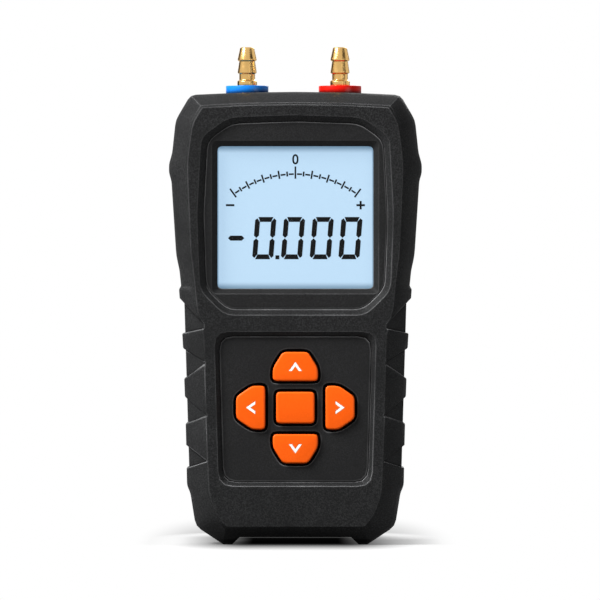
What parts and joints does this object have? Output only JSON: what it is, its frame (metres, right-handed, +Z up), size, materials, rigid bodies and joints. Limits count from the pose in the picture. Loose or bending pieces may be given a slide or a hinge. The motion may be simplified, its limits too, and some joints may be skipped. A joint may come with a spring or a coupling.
{
  "type": "digital manometer",
  "caption": "Handheld two-port differential pressure meter with a backlit display, a five-way keypad and hose barbs on top.",
  "frame": {"origin": "middle of the object's box at the level of its feet", "axes": "+Z up along the case, +Y from the display side to the battery side, +X to the reader's right"},
  "size_m": [0.0822, 0.038, 0.162],
  "materials": {
    "case_plastic": "matte black moulded plastic with a fine grain",
    "frame_plastic": "satin black moulded plastic",
    "plate_plastic": "satin black moulded plastic",
    "clear_window": "clear",
    "lcd_segment": "near black",
    "lcd_panel": "pale blue lit display",
    "light_plate": "milky",
    "holder_plastic": "ivory",
    "contact_rubber": "grey",
    "key_orange": "satin orange",
    "arrow_white": "white print",
    "mat_rubber": "dark silicone",
    "board_green": "green solder mask",
    "chip_black": "black moulded",
    "part_tan": "tan ceramic",
    "screw_steel": "zinc plated",
    "port_brass": "turned brass",
    "collar_blue": "satin blue",
    "collar_red": "satin red",
    "ring_rubber": "black",
    "hose_silicone": "milky silicone",
    "cell_metal": "plain sleeve",
    "contact_metal": "nickel plated"
  },
  "bodies": {
    "case": {"front_cover": "case_plastic", "rear_cover": "case_plastic", "case_screws": "screw_steel", "display_bezel": "frame_plastic", "display_lens": "clear_window", "lcd_segments": "lcd_segment", "lcd_glass": "lcd_panel", "lcd_backlight": "light_plate", "lcd_holder": "holder_plastic", "lcd_contact_strips": "contact_rubber", "keypad_plate": "plate_plastic", "key_mat": "mat_rubber", "key_dome_centre": "mat_rubber", "key_dome_up": "mat_rubber", "key_dome_down": "mat_rubber", "key_dome_left": "mat_rubber", "key_dome_right": "mat_rubber", "main_board": "board_green", "board_screws": "screw_steel", "microcontroller": "chip_black", "buzzer": "chip_black", "board_parts": "part_tan", "hose_barb_left": "port_brass", "hose_barb_right": "port_brass", "port_collar_left": "collar_blue", "port_collar_right": "collar_red", "port_o_rings": "ring_rubber", "port_nuts": "port_brass", "inner_hose_left": "hose_silicone", "inner_hose_right": "hose_silicone", "pressure_sensor": "chip_black", "battery_cell_left": "cell_metal", "battery_cell_middle": "cell_metal", "battery_cell_right": "cell_metal", "battery_springs": "contact_metal", "battery_contacts": "contact_metal"},
    "key_centre": {"button_centre": "key_orange"},
    "key_up": {"button_up": "key_orange", "arrow_up": "arrow_white"},
    "key_down": {"button_down": "key_orange", "arrow_down": "arrow_white"},
    "key_left": {"button_left": "key_orange", "arrow_left": "arrow_white"},
    "key_right": {"button_right": "key_orange", "arrow_right": "arrow_white"},
    "door": {"battery_door": "case_plastic"}
  },
  "joints": [
    {"name": "key_centre_press", "type": "slide", "parent": "case", "child": "key_centre", "axis": [0, 1, 0], "range_m": [0, 0.001], "stiffness_N_per_m": 600, "springref_m": -0.0002, "deforming": ["key_dome_centre"]},
    {"name": "key_up_press", "type": "slide", "parent": "case", "child": "key_up", "axis": [0, 1, 0], "range_m": [0, 0.001], "stiffness_N_per_m": 600, "springref_m": -0.0002, "deforming": ["key_dome_up"]},
    {"name": "key_down_press", "type": "slide", "parent": "case", "child": "key_down", "axis": [0, 1, 0], "range_m": [0, 0.001], "stiffness_N_per_m": 600, "springref_m": -0.0002, "deforming": ["key_dome_down"]},
    {"name": "key_left_press", "type": "slide", "parent": "case", "child": "key_left", "axis": [0, 1, 0], "range_m": [0, 0.001], "stiffness_N_per_m": 600, "springref_m": -0.0002, "deforming": ["key_dome_left"]},
    {"name": "key_right_press", "type": "slide", "parent": "case", "child": "key_right", "axis": [0, 1, 0], "range_m": [0, 0.001], "stiffness_N_per_m": 600, "springref_m": -0.0002, "deforming": ["key_dome_right"]},
    {"name": "door_slide", "type": "slide", "parent": "case", "child": "door", "axis": [0, 0, -1], "range_m": [0, 0.006]}
  ]
}
